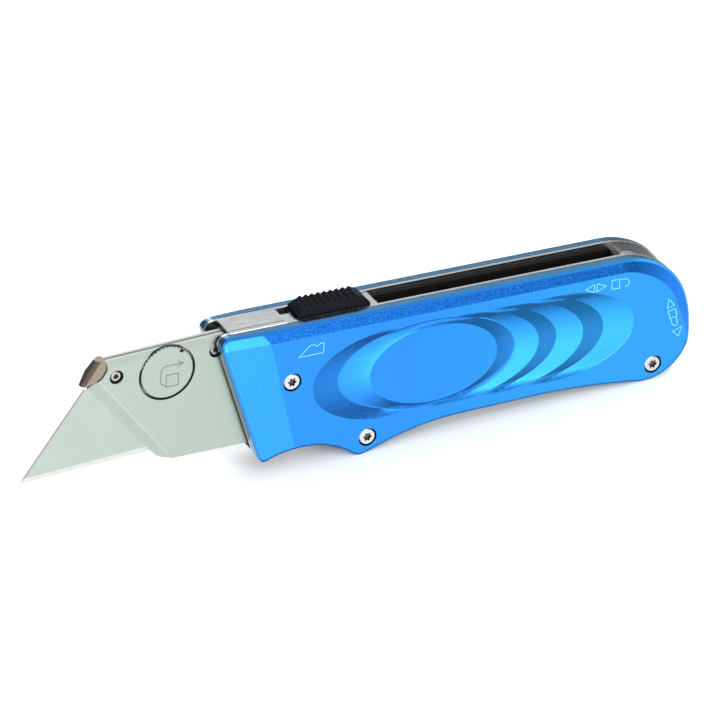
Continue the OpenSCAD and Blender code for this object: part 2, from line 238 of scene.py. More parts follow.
# ---------------------------------------------------------------- materials
def material(name, colour, metallic, roughness, grain=(0, 0, 0), rough_swing=0.0, tint_swing=0.0,
             bump=0.0, specular=0.5):
    """A procedural finish. grain is the noise's scale along x, y and z, per metre; the two swings
    say how far the noise moves the roughness and the colour, and bump is in millimetres."""
    mat = bpy.data.materials.new(name)
    mat.use_nodes = True
    nodes, links = mat.node_tree.nodes, mat.node_tree.links
    shader = nodes["Principled BSDF"]
    shader.inputs["Base Color"].default_value = (*colour, 1)
    shader.inputs["Metallic"].default_value = metallic
    shader.inputs["Roughness"].default_value = roughness
    shader.inputs["Specular IOR Level"].default_value = specular
    coords = nodes.new("ShaderNodeTexCoord")
    mapping = nodes.new("ShaderNodeMapping")
    mapping.inputs["Scale"].default_value = grain
    links.new(coords.outputs["Object"], mapping.inputs["Vector"])
    noise = nodes.new("ShaderNodeTexNoise")
    noise.inputs["Scale"].default_value = 1.0
    noise.inputs["Detail"].default_value = 3.0
    links.new(mapping.outputs["Vector"], noise.inputs["Vector"])
    if rough_swing:
        span = nodes.new("ShaderNodeMapRange")
        span.inputs["From Min"].default_value, span.inputs["From Max"].default_value = 0.3, 0.7
        span.inputs["To Min"].default_value = roughness - rough_swing
        span.inputs["To Max"].default_value = roughness + rough_swing
        links.new(noise.outputs["Fac"], span.inputs["Value"])
        links.new(span.outputs["Result"], shader.inputs["Roughness"])
    if tint_swing:
        mix = nodes.new("ShaderNodeMix")
        mix.data_type = "RGBA"
        mix.inputs["A"].default_value = (*[c * (1 - tint_swing) for c in colour], 1)
        mix.inputs["B"].default_value = (*[min(1, c * (1 + tint_swing)) for c in colour], 1)
        links.new(noise.outputs["Fac"], mix.inputs["Factor"])
        links.new(mix.outputs["Result"], shader.inputs["Base Color"])
    if bump:
        dent = nodes.new("ShaderNodeBump")
        dent.inputs["Strength"].default_value = 1.0
        dent.inputs["Distance"].default_value = bump * MM
        links.new(noise.outputs["Fac"], dent.inputs["Height"])
        links.new(dent.outputs["Normal"], shader.inputs["Normal"])
    return mat


# The noise's scale: even specks, or streaks along the part where it was ground or drawn
SPECKS = (2600, 2600, 2600)
BEVEL_SPECKS = (2900, 2900, 2900)
FINE = (3000, 3000, 3000)
PLATED = (2500, 2500, 2500)
COARSE = (900, 900, 900)
SATIN = (250, 2500, 3500)
RIM_GRAIN = (900, 2500, 900)

# Scales: face, bevel, side, painted shade in the bores and behind the side, and the lines on the face:
# etched lines and a painted highlight along the last ripple
BLUE = material("blue_anodised", (0.028, 0.247, 0.81), 1.0, 0.21, SPECKS, 0.04, 0.16, 0.003)
BLUE_BEVEL = material("blue_bevel", (0.018, 0.205, 0.88), 1.0, 0.21, BEVEL_SPECKS, 0.06, 0.36, 0.007)
BLUE_EDGE = material("blue_edge", (0.085, 0.25, 0.47), 1.0, 0.24, COARSE, 0.05, 0.10, 0.003)
BLUE_PAINTED_SHADE = material("blue_painted_shade", (0.006, 0.025, 0.08), 1.0, 0.45, COARSE, 0.05, 0.10, 0.003)
ETCH = material("etched_line", (0.22, 0.62, 0.68), 0.0, 0.5, FINE, 0.05, 0.10, 0.002)
# A painted highlight along the last ripple
LIP_HIGHLIGHT = material("painted_lip_highlight", (0.13, 0.55, 0.68), 1.0, 0.3, FINE, 0.05, 0.10, 0.001)
# Frame and its screws, with painted shade in the bridge's groove and in the screws' sockets, and a
# painted highlight along the bridge's fold
LINER = material("liner_steel", (0.58, 0.61, 0.61), 1.0, 0.25, (300, 2500, 3000), 0.06, 0.08, 0.002)
DARK = material("dark_steel", (0.15, 0.155, 0.15), 1.0, 0.38, (3000, 300, 3000), 0.08, 0.15, 0.004)
CREASE_PAINTED_SHADE = material("crease_painted_shade", (0.045, 0.03, 0.028), 1.0, 0.5, FINE, 0.05, 0.10, 0.001)
FOLD_HIGHLIGHT = material("painted_fold_highlight", (0.93, 0.93, 0.92), 0.3, 0.3, (300, 2500, 3000), 0.05, 0.04, 0.001)
SCREW = material("screw_steel", (0.60, 0.61, 0.62), 1.0, 0.22, PLATED, 0.06, 0.08, 0.002)
# The sockets' dark colour is painted shade
SOCKET = material("socket_shade", (0.10, 0.085, 0.075), 1.0, 0.45, PLATED, 0.06, 0.2, 0.003)
# Carrier: side, top bevel in painted shade, front bevel and upper rim in their own grain with painted
# light, screws, a painted highlight along its lower front, painted shade in its bores and gaps, and
# the wheel's sign
CARRIER = material("carrier_steel", (0.37, 0.425, 0.38), 1.0, 0.36, SATIN, 0.06, 0.06, 0.002)
CARRIER_TOP_PAINTED_SHADE = material("carrier_top_bevel_painted_shade", (0.27, 0.31, 0.28), 1.0, 0.36, SATIN, 0.06, 0.06, 0.002)
CARRIER_FRONT_PAINTED_LIGHT = material("carrier_front_bevel_painted_light", (0.44, 0.50, 0.45), 1.0, 0.36, RIM_GRAIN,
                         0.05, 0.06, 0.001)
CARRIER_RIM_PAINTED_LIGHT = material("carrier_rim_painted_light", (0.42, 0.46, 0.43), 1.0, 0.36, RIM_GRAIN, 0.05, 0.06, 0.001)
PIN = material("pin_steel", (0.42, 0.44, 0.42), 1.0, 0.28, PLATED, 0.06, 0.08, 0.002)
# A painted highlight along the carrier's lower front
CARRIER_EDGE_HIGHLIGHT = material("painted_highlight_line", (0.56, 0.61, 0.57), 1.0, 0.5, COARSE, 0.05, 0.05, 0.001)
SHADE = material("bore_shade", (0.012, 0.012, 0.013), 0.0, 0.6, PLATED, 0.06, 0.2, 0.003, specular=0.1)
ENGRAVE = material("engraved_line", (0.17, 0.18, 0.175), 1.0, 0.5, FINE, 0.05, 0.15, 0.002)
# Nose and blade
NOSE = material("nose_bronze", (0.265, 0.225, 0.18), 1.0, 0.34, (1500, 1500, 1500), 0.06, 0.12, 0.003)
BLADE = material("blade_steel", (0.38, 0.44, 0.40), 1.0, 0.32, (160, 400, 320), 0.03, 0.08)
# The ground faces: their grain is their own, their near-white colour is a painted sheen
BLADE_GROUND_AND_SHEEN = material("blade_ground_edge_and_painted_sheen", (0.84, 0.87, 0.83), 0.85, 0.5, (3500, 900, 900),
                      0.05, 0.06, 0.001)
# Inside, and the black plastic
SPRING = material("spring_steel", (0.55, 0.57, 0.58), 1.0, 0.30, (400, 2500, 2500), 0.05, 0.08, 0.002)
BRASS = material("guide_brass", (0.72, 0.55, 0.26), 1.0, 0.28, (2000, 300, 2000), 0.06, 0.10, 0.002)
MAGNET = material("magnet_black", (0.05, 0.05, 0.055), 1.0, 0.35, PLATED, 0.06, 0.2, 0.002)
PLASTIC = material("black_plastic", (0.004, 0.005, 0.0075), 0.0, 0.4, (2200, 2200, 2200),
                   0.08, 0.3, 0.006, specular=0.09)
TRACK = material("track_plastic", (0.006, 0.006, 0.0065), 0.0, 0.6, (900, 2200, 2200),
                 0.08, 0.3, 0.006, specular=0.12)


def tint_towards_tail(mat, colour, start, end, most):
    """Blends the finish towards another colour between start and end along x, in metres. most is
    the blend from the end on."""
    nodes, links = mat.node_tree.nodes, mat.node_tree.links
    base = nodes["Principled BSDF"].inputs["Base Color"]
    split = nodes.new("ShaderNodeSeparateXYZ")
    links.new(nodes["Texture Coordinate"].outputs["Object"], split.inputs[0])
    span = nodes.new("ShaderNodeMapRange")
    span.inputs["From Min"].default_value, span.inputs["From Max"].default_value = start, end
    span.inputs["To Max"].default_value = most
    links.new(split.outputs["X"], span.inputs["Value"])
    mix = nodes.new("ShaderNodeMix")
    mix.data_type = "RGBA"
    links.new(span.outputs["Result"], mix.inputs["Factor"])
    links.new(base.links[0].from_socket, mix.inputs["A"])
    mix.inputs["B"].default_value = (*colour, 1)
    links.new(mix.outputs["Result"], base)


tint_towards_tail(BLUE, (0.034, 0.345, 0.80), 0.010, 0.056, 0.75)

# Finishes of the CAD nodes that show as they are
CAD_LOOKS = {
    "left_liner": LINER, "right_liner": LINER, "left_track": TRACK, "right_track": TRACK,
    "front_spacer": TRACK, "lobe_spacer": TRACK, "tail_spacer": DARK, "standoffs": LINER,
    "carrier_left_plate": CARRIER, "carrier_right_plate": CARRIER, "carrier_core": DARK,
    "nose_block": NOSE, "guide_pins": BRASS, "slide_strip": LINER,
    "strip_rivets": SCREW, "blade_magnet": MAGNET, "lock_bar": DARK,
    "lock_pin": SCREW, "lock_wheel": CARRIER, "cam_washer": SPRING, "blade": BLADE,
}
for node, look in CAD_LOOKS.items():
    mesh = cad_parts[node].data
    mesh.materials.clear()
    mesh.materials.append(look)


def finish_by_side(node, look, chosen):
    """Gives the faces of a CAD node whose outward direction is chosen a second finish."""
    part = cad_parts[node]
    part.data.materials.append(look)
    added = len(part.data.materials) - 1
    turn = part.matrix_world.to_3x3()
    slots = [added if chosen((turn @ p.normal).normalized()) else p.material_index
             for p in part.data.polygons]
    part.data.polygons.foreach_set("material_index", slots)


# The plates' bevels face outwards and a little up or forwards, and their rim faces up; the top bevel
# takes painted shade, and the front bevel and the rim take painted light. On the blade all but its two
# flat sides is ground.
for node in ("carrier_left_plate", "carrier_right_plate"):
    finish_by_side(node, CARRIER_TOP_PAINTED_SHADE, lambda n: abs(n.y) > 0.7 and n.z > 0.3)
    finish_by_side(node, CARRIER_FRONT_PAINTED_LIGHT, lambda n: abs(n.y) > 0.7 and n.x < -0.2)
    finish_by_side(node, CARRIER_RIM_PAINTED_LIGHT, lambda n: n.z > 0.9)
# The ground faces' near-white colour is a painted sheen
finish_by_side("blade", BLADE_GROUND_AND_SHEEN, lambda n: abs(n.y) < 0.999)

# ---------------------------------------------------------------- sculpted scales
# The outline's corners, each as x, z and radius, and the centres of the handle screws
CORNERS = [
    (-17.3, TOP, 2.0), (-6.3, -19.1, 1.5), (5.6, -13.8, 19.4), (16.8, -21.75, 3.0),
    (32.3, -16.6, 60), (69.8, -15.8, 150), (REAR, -19.3, 10.7), (REAR, TOP, 17.9),
]
OUTLINE = rounded(CORNERS, 0.5)
SCREWS = [(0, 0), (18.8, -17.4), (88.0, -14.1)]
# The bevel: width and depth, how much it widens round the tail and over what length, and the
# height at which it is gone low on the tail after fading over that much
BEVEL_W, BEVEL_T = 2.5, 1.1
TAIL_WIDER, TAIL_WIDER_OVER = 0.5, 8
BEVEL_GONE_Z, BEVEL_FADE = -11, 10
TAIL_R = CORNERS[-1][2]
TAIL_C = (REAR - TAIL_R, TOP - TAIL_R)
# The front facet: its line's x at a height, the line's lean, its further lean on the bevel, and
# how far the facet tilts
FACET_X, FACET_Z, FACET_LEAN, FACET_BEVEL_LEAN = -5.5, 10, 0.26, 0.5
FACET_TILT = math.tan(math.radians(2.8))

# The dish: each ellipse as centre x, centre z, half length, half height
RIM = (23.2, -2.5, 18.3, 10.7)
TROUGH = (32.15, -2.0, 21.15, 10.3)
FLOOR = (33.75, -2.45, 15.25, 9.25)
# Depths of the trough and the floor, and how far to each side of the trough's ellipse the dish
# gives way to what lies outside it
TROUGH_D, FLOOR_D, LEDGE = 0.52, 0.12, 0.15
# The share of these depths that is left at the dish's upper and lower ends
TROUGH_LEAST, FLOOR_LEAST = 0.34, 0.4
# The rim's slope fades out from here along the upper and the lower side
RIM_END_UPPER, RIM_END_LOWER, RIM_END_OVER = 19, 21, 7
# The ripples: one ellipse stepped along x, and the depth at each step
RIPPLE_Z, RIPPLE_A, RIPPLE_B = -2.4, 21.0, 10.75
RIPPLE_X = [32.3, 38.0, 42.5, 48.8, 54.0, 61.3]
RIPPLE_D = [TROUGH_D, 0.10, 0.49, 0.03, 0.485, 0.0]
# They start here along x, fade out at this share of their half height, and their crests are
# creased up to this angle from the middle
RIPPLE_START, RIPPLE_START_OVER = 31, 6
RIPPLE_GONE, RIPPLE_FADE = 0.985, 0.18
CREST_ANGLE = 76

# The scale's rounded edge, the step behind it, and the counterbores for the screws
EDGE_R = 0.5
REBATE_Y, REBATE_W = 0.16, 0.5
BORE_R, BORE_TOP_R, BORE_CHAMFER, BORE_DEPTH, BORE_N = 2.1, 2.22, 0.12, 1.46, 48
MESH_STEP = 0.4

# The scale's finishes, and each one's place in the list
SCALE_FINISHES = [BLUE, BLUE_EDGE, BLUE_BEVEL, BLUE_PAINTED_SHADE]
IN_FACE, IN_EDGE, IN_BEVEL, IN_SHADE = range(4)


def reach(e, x, z):
    """1 on the ellipse, less inside it, more outside."""
    return np.maximum(np.hypot((x - e[0]) / e[2], (z - e[1]) / e[3]), 1e-6)


def ellipse(e, step=MESH_STEP, a0=0.0, a1=360.0):
    """Points along the ellipse between two angles in degrees."""
    n = math.ceil(math.radians(a1 - a0) * max(e[2], e[3]) / step)
    a = np.radians(np.linspace(a0, a1, n + 1))
    return np.stack([e[0] + e[2] * np.cos(a), e[1] + e[3] * np.sin(a)], 1)


def grown(e, d):
    """The ellipse with both half axes longer by d."""
    return e[0], e[1], e[2] + d, e[3] + d


def ease(t):
    """0 below 0 and 1 above 1, with a smooth rise between them."""
    t = np.clip(t, 0, 1)
    return t * t * (3 - 2 * t)


def dish(x, z):
    """Depth of the dish and the ripples under the face."""
    q = np.clip((z - RIPPLE_Z) / RIPPLE_B, -1, 1)
    w = np.sqrt(1 - q * q)
    fade = ease((RIPPLE_GONE - np.abs(q)) / RIPPLE_FADE)
    trough_d = TROUGH_D * (TROUGH_LEAST + (1 - TROUGH_LEAST) * fade)
    floor_d = FLOOR_D * (FLOOR_LEAST + (1 - FLOOR_LEAST) * fade)
    rim, trough, floor = (reach(e, x, z) for e in (RIM, TROUGH, FLOOR))
    ring_t = np.clip((floor - 1) / np.maximum(floor - trough, 1e-6), 0, 1)
    within = np.where(floor < 1, floor_d, floor_d + (trough_d - floor_d) * ring_t)
    side_t = np.clip((1 - rim) / np.maximum(trough - rim, 1e-6), 0, 1)
    left = np.where(rim < 1, trough_d * side_t, 0)
    left *= 1 - ease((x - np.where(z > RIPPLE_Z, RIM_END_UPPER, RIM_END_LOWER)) / RIM_END_OVER)
    right = np.interp(x - RIPPLE_A * w, RIPPLE_X, RIPPLE_D) * fade
    right = right * ease((x - RIPPLE_START) / RIPPLE_START_OVER)
    far = (trough - 1) / trough * np.hypot(x - TROUGH[0], z - TROUGH[1])
    step = np.clip(0.5 - far / (2 * LEDGE), 0, 1)
    return within * step + np.maximum(left, right) * (1 - step)


def bevel_width(x, z):
    """Width of the bevel: it runs along the top and round the tail, and fades out low on the tail."""
    wider = TAIL_WIDER * ease((x - TAIL_C[0]) / TAIL_WIDER_OVER)
    return (BEVEL_W + wider) * np.clip((z - BEVEL_GONE_Z) / BEVEL_FADE, 0, 1)


def facet_line(z):
    """x of the line where the front facet starts; it leans more on the bevel."""
    on_bevel = np.maximum(z - (TOP - BEVEL_W), 0)
    return FACET_X + (FACET_Z - z) * FACET_LEAN - on_bevel * FACET_BEVEL_LEAN


def to_edge(x, z):
    """Distance to the outline's top or, past the tail's centre, to its tail."""
    from_centre = np.hypot(x - TAIL_C[0], np.maximum(z - TAIL_C[1], 0))
    return np.where(x < TAIL_C[0], TOP - z, TAIL_R - from_centre)


def depth(x, z):
    """Depth of the left scale's surface under its face: dish, bevel and front facet."""
    x, z = np.asarray(x, float), np.asarray(z, float)
    bevel = np.maximum(bevel_width(x, z) - to_edge(x, z), 0) * BEVEL_T / BEVEL_W
    return np.maximum(dish(x, z), bevel) + np.maximum(facet_line(z) - x, 0) * FACET_TILT


def bevel_line():
    """The line where the bevel meets the face: along the top, round the tail and down."""
    top = even([(-18, TOP - BEVEL_W), (TAIL_C[0], TOP - BEVEL_W)], 0.5)
    a = np.radians(np.linspace(89, 0, 50))
    cos, sin = np.cos(a), np.sin(a)
    on_bevel = 15
    r = TAIL_R - bevel_width(TAIL_C[0] + on_bevel * cos, TAIL_C[1] + on_bevel * sin)
    tail = np.stack([TAIL_C[0] + r * cos, TAIL_C[1] + r * sin], 1)
    z = np.linspace(TAIL_C[1], BEVEL_GONE_Z + 0.2, 12)
    low = np.stack([REAR - bevel_width(np.full(12, REAR), z), z], 1)
    return np.concatenate([top, tail, low[1:]])


def scale_shell():
    """The left scale: sculpted face, rounded edge, counterbores and the flat inner side."""
    bores = [ring(x, z, BORE_TOP_R, BORE_N) for x, z in SCREWS]
    marks = [ellipse(grown(TROUGH, k))[:-1] for k in (-LEDGE, LEDGE)]
    marks += [ellipse(FLOOR)[:-1], ellipse(RIM, MESH_STEP, 85, 290), bevel_line()]
    marks += [ellipse((s, RIPPLE_Z, RIPPLE_A, RIPPLE_B), MESH_STEP, -CREST_ANGLE, CREST_ANGLE)
              for s in RIPPLE_X[1:]]
    marks.append(even([(facet_line(z), z) for z in (12.3, TOP - BEVEL_W, -15.8)], 0.5))
    flat, tri, loops = fill(inset(OUTLINE, EDGE_R), bores, marks, MESH_STEP)
    shell = Shell()
    shell.creases = set(np.where(near(flat, np.concatenate(marks), 0.01))[0].tolist())
    top = shell.add(flat, -FACE + depth(flat[:, 0], flat[:, 1]))
    x, z = flat[tri].mean(1).T
    on_bevel = (to_edge(x, z) < bevel_width(x, z)) & (x > facet_line(z))
    for t, bevelled in zip(tri, on_bevel):
        shell.face((top[i] for i in t), IN_BEVEL if bevelled else IN_FACE)
    edge_d = depth(OUTLINE[:, 0], OUTLINE[:, 1])
    side = [top[i] for i in loops[0]]
    for a, kind in ((30, IN_FACE), (60, IN_FACE), (90, IN_EDGE)):
        across = EDGE_R * (1 - math.sin(math.radians(a)))
        down = EDGE_R * (1 - math.cos(math.radians(a)))
        row = shell.add(inset(OUTLINE, across), -FACE + edge_d + down)
        shell.strip(side, row, kind)
        side = row
    step = -INNER - REBATE_Y
    behind = inset(OUTLINE, REBATE_W)
    # The step behind the side is in painted shade
    for loop, y, kind in (
        (OUTLINE, step, IN_EDGE), (behind, step, IN_SHADE), (behind, -INNER, IN_SHADE)
    ):
        row = shell.add(loop, y)
        shell.strip(side, row, kind)
        side = row
    shell.face(reversed(side), IN_EDGE)
    for (x, z), hole in zip(SCREWS, loops[1:]):
        rim = [top[i] for i in hole]
        circle = ring(x, z, BORE_R, BORE_N)
        wall = shell.add(circle, -FACE + float(depth(x, z)) + BORE_CHAMFER)
        shell.strip(wall, rim, IN_FACE)
        # The bore's wall and floor are in painted shade
        foot = shell.add(circle, -FACE + BORE_DEPTH)
        shell.strip(foot, wall, IN_SHADE)
        shell.face(foot, IN_SHADE)
    return shell


left = scale_shell()
for name, shell, node in (
    ("left_scale_body", left, "left_scale"), ("right_scale_body", left.mirrored(), "right_scale")
):
    scale = shell.make(name, "handle", SCALE_FINISHES, stands_for=[node], slot="blue_anodised")
    crease(scale, shell.creases, 2)


# ---------------------------------------------------------------- marks etched in the scales
def ribbon(shell, line, width, height, closed=False, sink=0.05):
    """A flat line of that width on the surface whose outer y is height(x, z). Its sides go down
    by sink."""
    line = even(line, 0.5, closed)
    ahead = np.roll(line, -1, 0) - line
    behind = line - np.roll(line, 1, 0)
    if not closed:
        ahead[-1], behind[0] = behind[-1], ahead[0]
    ahead /= np.linalg.norm(ahead, axis=1)[:, None]
    behind /= np.linalg.norm(behind, axis=1)[:, None]
    t = ahead + behind
    t /= np.linalg.norm(t, axis=1)[:, None]
    k = np.clip(1 / np.maximum((t * ahead).sum(1), 0.3), 1, 2.5)[:, None]
    side = np.stack([-t[:, 1], t[:, 0]], 1) * k * width / 2
    rows = []
    for sign, drop in ((-1, sink), (-1, 0), (1, 0), (1, sink)):
        flat = line + sign * side
        rows.append(shell.add(flat, height(flat[:, 0], flat[:, 1]) + drop))
    n = len(line)
    for i in range(n if closed else n - 1):
        j = (i + 1) % n
        for a, b in zip(rows, rows[1:]):
            shell.face((a[i], a[j], b[j], b[i]))


# The signs etched in the scale: corners, and whether the line is closed
ICONS = [
    ([(1.15, 5.9), (3.7, 8.3), (4.7, 8.3), (5.35, 7.7), (6.0, 8.3), (6.9, 8.3), (6.9, 5.9)], True),
    ([(69.6, 8.15), (71.75, 9.1), (71.75, 7.1)], True),
    ([(72.4, 9.1), (74.6, 8.15), (72.4, 7.1)], True),
    ([(76.0, 9.2), (77.9, 9.1), (78.0, 6.9), (76.1, 7.0)], True),
    ([(77.9, 9.1), (79.8, 8.8), (80.3, 8.2), (80.3, 7.4), (79.9, 7.1), (79.3, 7.1)], False),
    ([(90.6, 1.6), (92.1, -0.15), (90.4, -0.8)], True),
    ([(90.65, -1.4), (92.45, -1.2), (93.0, -3.1), (91.3, -3.3)], True),
    ([(91.4, -3.3), (91.9, -4.8), (92.5, -5.4), (93.1, -5.3), (93.3, -4.9), (92.75, -3.3)], False),
    ([(92.2, -6.7), (94.3, -5.9), (93.8, -8.2)], True),
]
LINE_W = 0.13
etched = Shell()
for line, closed in ICONS:
    ribbon(etched, line, LINE_W, lambda x, z: -FACE + depth(x, z) - 0.012, closed)
for name, shell in (("left_etched_marks", etched), ("right_etched_marks", etched.mirrored())):
    shell.make(name, "handle", [ETCH], sharp=40)
# A painted highlight: a thin bright line along the last ripple's lower end
lip = Shell()
last_ripple = (RIPPLE_X[-1], RIPPLE_Z, RIPPLE_A, RIPPLE_B)
ribbon(lip, ellipse(last_ripple, MESH_STEP, -55, -12), LINE_W,
       lambda x, z: -FACE + depth(x, z) - 0.008)
for name, shell in (("left_ripple_highlight", lip), ("right_ripple_highlight", lip.mirrored())):
    shell.make(name, "handle", [LIP_HIGHLIGHT], sharp=40)


# ---------------------------------------------------------------- screws with a six-lobed socket
def screw_head(shell, x, z, r, y_out, height, socket):
    """A round head with a chamfer; socket is the radius to the tips of its six lobes."""
    n = 72
    a = np.arange(n) * 2 * math.pi / n
    star_r = socket * (0.84 + 0.16 * np.cos(6 * a + 0.5))
    star = np.stack([x + star_r * np.cos(a), z + star_r * np.sin(a)], 1)
    chamfer = 0.12 * r
    rows = [
        shell.add(star, y_out + 0.45 * height),
        shell.add(star, y_out),
        shell.add(ring(x, z, r - chamfer, n), y_out),
        shell.add(ring(x, z, r, n), y_out + chamfer * 0.8),
        shell.add(ring(x, z, r, n), y_out + height),
    ]
    # The socket's walls and floor take the second finish, which is painted shade
    shell.strip(rows[0], rows[1], 1)
    for u, v in zip(rows[1:], rows[2:]):
        shell.strip(u, v, 0)
    shell.face(rows[0], 1)
    shell.face(reversed(rows[-1]), 0)


HEAD_R, HEAD_T, SOCKET_R = 1.9, 1.15, 1.05
heads = Shell()
head_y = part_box("left_screws")[0].y / MM
for x, z in SCREWS:
    screw_head(heads, x, z, HEAD_R, head_y, HEAD_T, SOCKET_R)
for name, shell, node in (
    ("left_screw_heads", heads, "left_screws"), ("right_screw_heads", heads.mirrored(), "right_screws")
):
    shell.make(name, "handle", [SCREW, SOCKET], stands_for=[node], slot="screw_steel", sharp=30)


# ---------------------------------------------------------------- folded bridge: painted shade in its groove and a painted highlight along its fold
def bar(name, low, high, body, look):
    """A box between two corners."""
    (x0, y0, z0), (x1, y1, z1) = low, high
    points = [(x, y, z) for x in (x0, x1) for y in (y0, y1) for z in (z0, z1)]
    faces = [(0, 1, 3, 2), (4, 6, 7, 5), (0, 4, 5, 1), (2, 3, 7, 6), (0, 2, 6, 4), (1, 5, 7, 3)]
    return add_mesh(name, points, faces, body, [look])


# Painted shade: a dark fill in the groove beside the bridge's fold. Painted highlight: a bright strip
# along the fold
bar("bridge_groove_shade", (-13.38, -2.29, TOP - 0.19), (-0.62, -2.11, TOP - 0.03), "handle", CREASE_PAINTED_SHADE)
bar("bridge_fold_highlight", (-13.5, -3.57, TOP - 0.02), (-0.4, -3.2, TOP + 0.006), "handle", FOLD_HIGHLIGHT)


# ---------------------------------------------------------------- carrier screws, sunk in bores with painted shade
def tube(shell, x, z, r_in, r_out, y_out, y_in, kind=0):
    """A closed ring between two radii."""
    rows = [shell.add(ring(x, z, r, 64), y) for r, y in (
        (r_in, y_in), (r_in, y_out), (r_out, y_out), (r_out, y_in))]
    for u, v in zip(rows, rows[1:] + rows[:1]):
        shell.strip(u, v, kind)


plate_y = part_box("carrier_left_plate")[0].y / MM
far_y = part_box("carrier_screws")[1].y / MM
pins = Shell()
for x, z in ((-38.9, 6.9), (-15.9, 8.5), (20.0, -8.0)):
    # The head, its shank, and painted shade on the bore's wall and foot
    screw_head(pins, x, z, 1.15, plate_y + 0.34, 0.26, 0.7)
    tube(pins, x, z, 0.3, 0.8, plate_y + 0.55, far_y)
    tube(pins, x, z, 1.5, 1.58, plate_y + 0.03, plate_y + 0.66, 1)
    tube(pins, x, z, 0.84, 1.52, plate_y + 0.62, plate_y + 0.68, 1)
pins.make("carrier_screw_heads", "carriage", [PIN, SHADE], stands_for=["carrier_screws"],
          slot="screw_steel", sharp=30)

# ---------------------------------------------------------------- painted shade in the gap round the lock wheel
WHEEL_X, WHEEL_Z = -27.2, 5.6
wheel_low, wheel_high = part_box("lock_wheel")
wheel_y = wheel_low.y / MM


def arc(r, a0, a1):
    """Points round the wheel's centre between two angles in degrees."""
    a = np.radians(np.linspace(a0, a1, 100))
    return np.stack([WHEEL_X + r * np.cos(a), WHEEL_Z + r * np.sin(a)], 1)


def level(y):
    """A surface with the same y all over."""
    return lambda x, z: np.full(np.shape(x), y)


# Painted shade in the gap round the wheel: wide and black, except at the top where it is narrow
WIDE_GAP, NARROW_GAP = (163, 407), (50, 160)
gap = Shell()
ribbon(gap, arc(6.42, *WIDE_GAP), 0.2, level(plate_y - 0.005), sink=0.5)
ribbon(gap, arc(6.24, *WIDE_GAP), 0.22, level(wheel_high.y / MM - 0.06), sink=0.03)
ribbon(gap, arc(6.36, *NARROW_GAP), 0.1, level(plate_y - 0.005), sink=0.5)
gap.make("wheel_gap_painted_shade", "carriage", [SHADE], sharp=30)
# Painted shade along the wheel's edge, and a dark patch of painted shade where its teeth start
rim = Shell()
ribbon(rim, arc(6.01, *WIDE_GAP), 0.16, level(wheel_y - 0.006))
ribbon(rim, arc(5.6, 50, 60), 0.7, level(wheel_y - 0.006))
rim.make("wheel_rim_painted_shade", "wheel", [SHADE], sharp=30)

# ---------------------------------------------------------------- painted highlight: a bright line along the carrier
painted_shine = Shell()
ribbon(painted_shine, [(-42.9, 6.68), (-25.6, -15.18)], 0.14, level(plate_y - 0.006))
painted_shine.make("carrier_edge_highlight", "carriage", [CARRIER_EDGE_HIGHLIGHT], sharp=30)


# ---------------------------------------------------------------- thumb slider
def slider_shell():
    """Ribbed slider: skirts that straddle the strip, sloped ends and rooms for the springs."""
    low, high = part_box("thumb_slider")
    x0, x1 = low.x / MM - ORIGIN[0], high.x / MM - ORIGIN[0]
    half, top = high.y / MM, high.z / MM - ORIGIN[2]
    # Heights of the skirts' foot, the underside, the walls, the ridges' valleys and the rooms
    skirt, under, wall, valley, room = top - 2.95, top - 2.35, top - 1.75, top - 0.6, top - 0.86
    count = 9
    first, pitch = x0 + 1.75, (x1 - x0 - 4.0) / count
    line = [(x0, wall - 0.25), (x0 + 0.15, wall), (first - 0.1, valley)]
    for i in range(count):
        s = first + pitch * i
        line += [(s + 0.05, valley), (s + pitch * 0.40, top - 0.05), (s + pitch * 0.47, top),
                 (s + pitch * 0.55, top - 0.05)]
    line += [(first + pitch * count, valley + 0.05), (x1 - 2.1, valley + 0.05),
             (x1 - 0.75, wall + 0.45), (x1 - 0.12, wall - 0.3), (x1, wall - 0.6)]
    line = np.array(line)
    rooms = [(x0 + 2.05, x0 + 4.3), (x0 + 12.25, x0 + 14.5)]
    cuts = sorted(v + k for room_x in rooms for v in room_x for k in (-0.01, 0.01))
    xs = np.array(sorted([*line[:, 0], *cuts]))
    shell, rows = Shell(), []
    for x in xs:
        h = float(np.interp(x, line[:, 0], line[:, 1]))
        u = room if any(a < x < b for a, b in rooms) else under + 0.02
        shoulder = min(h - 0.02, wall)
        upper = half - 0.12 - max(h - wall, 0) * 0.28
        half_section = [(1.05, u), (1.05, under), (half - 0.35, under), (half - 0.35, skirt),
                        (half, skirt), (half, shoulder), (upper, h)]
        section = [(-y, z) for y, z in half_section] + [(y, z) for y, z in reversed(half_section)]
        rows.append(len(shell.points))
        shell.points += [(x, y, z) for y, z in section]
    n = len(section)
    for a, b in zip(rows, rows[1:]):
        for i in range(n):
            j = (i + 1) % n
            shell.face((a + i, b + i, b + j, a + j))
    shell.face(reversed([rows[0] + i for i in range(n)]))
    shell.face([rows[-1] + i for i in range(n)])
    return shell


slider = slider_shell().make("thumb_slider_body", "slider", [PLASTIC], stands_for=["thumb_slider"],
                             slot="black_plastic", sharp=35)
soften = slider.modifiers.new("soften", "BEVEL")
soften.width = 0.07 * MM
soften.segments = 2
soften.limit_method = "ANGLE"
soften.angle_limit = math.radians(35)


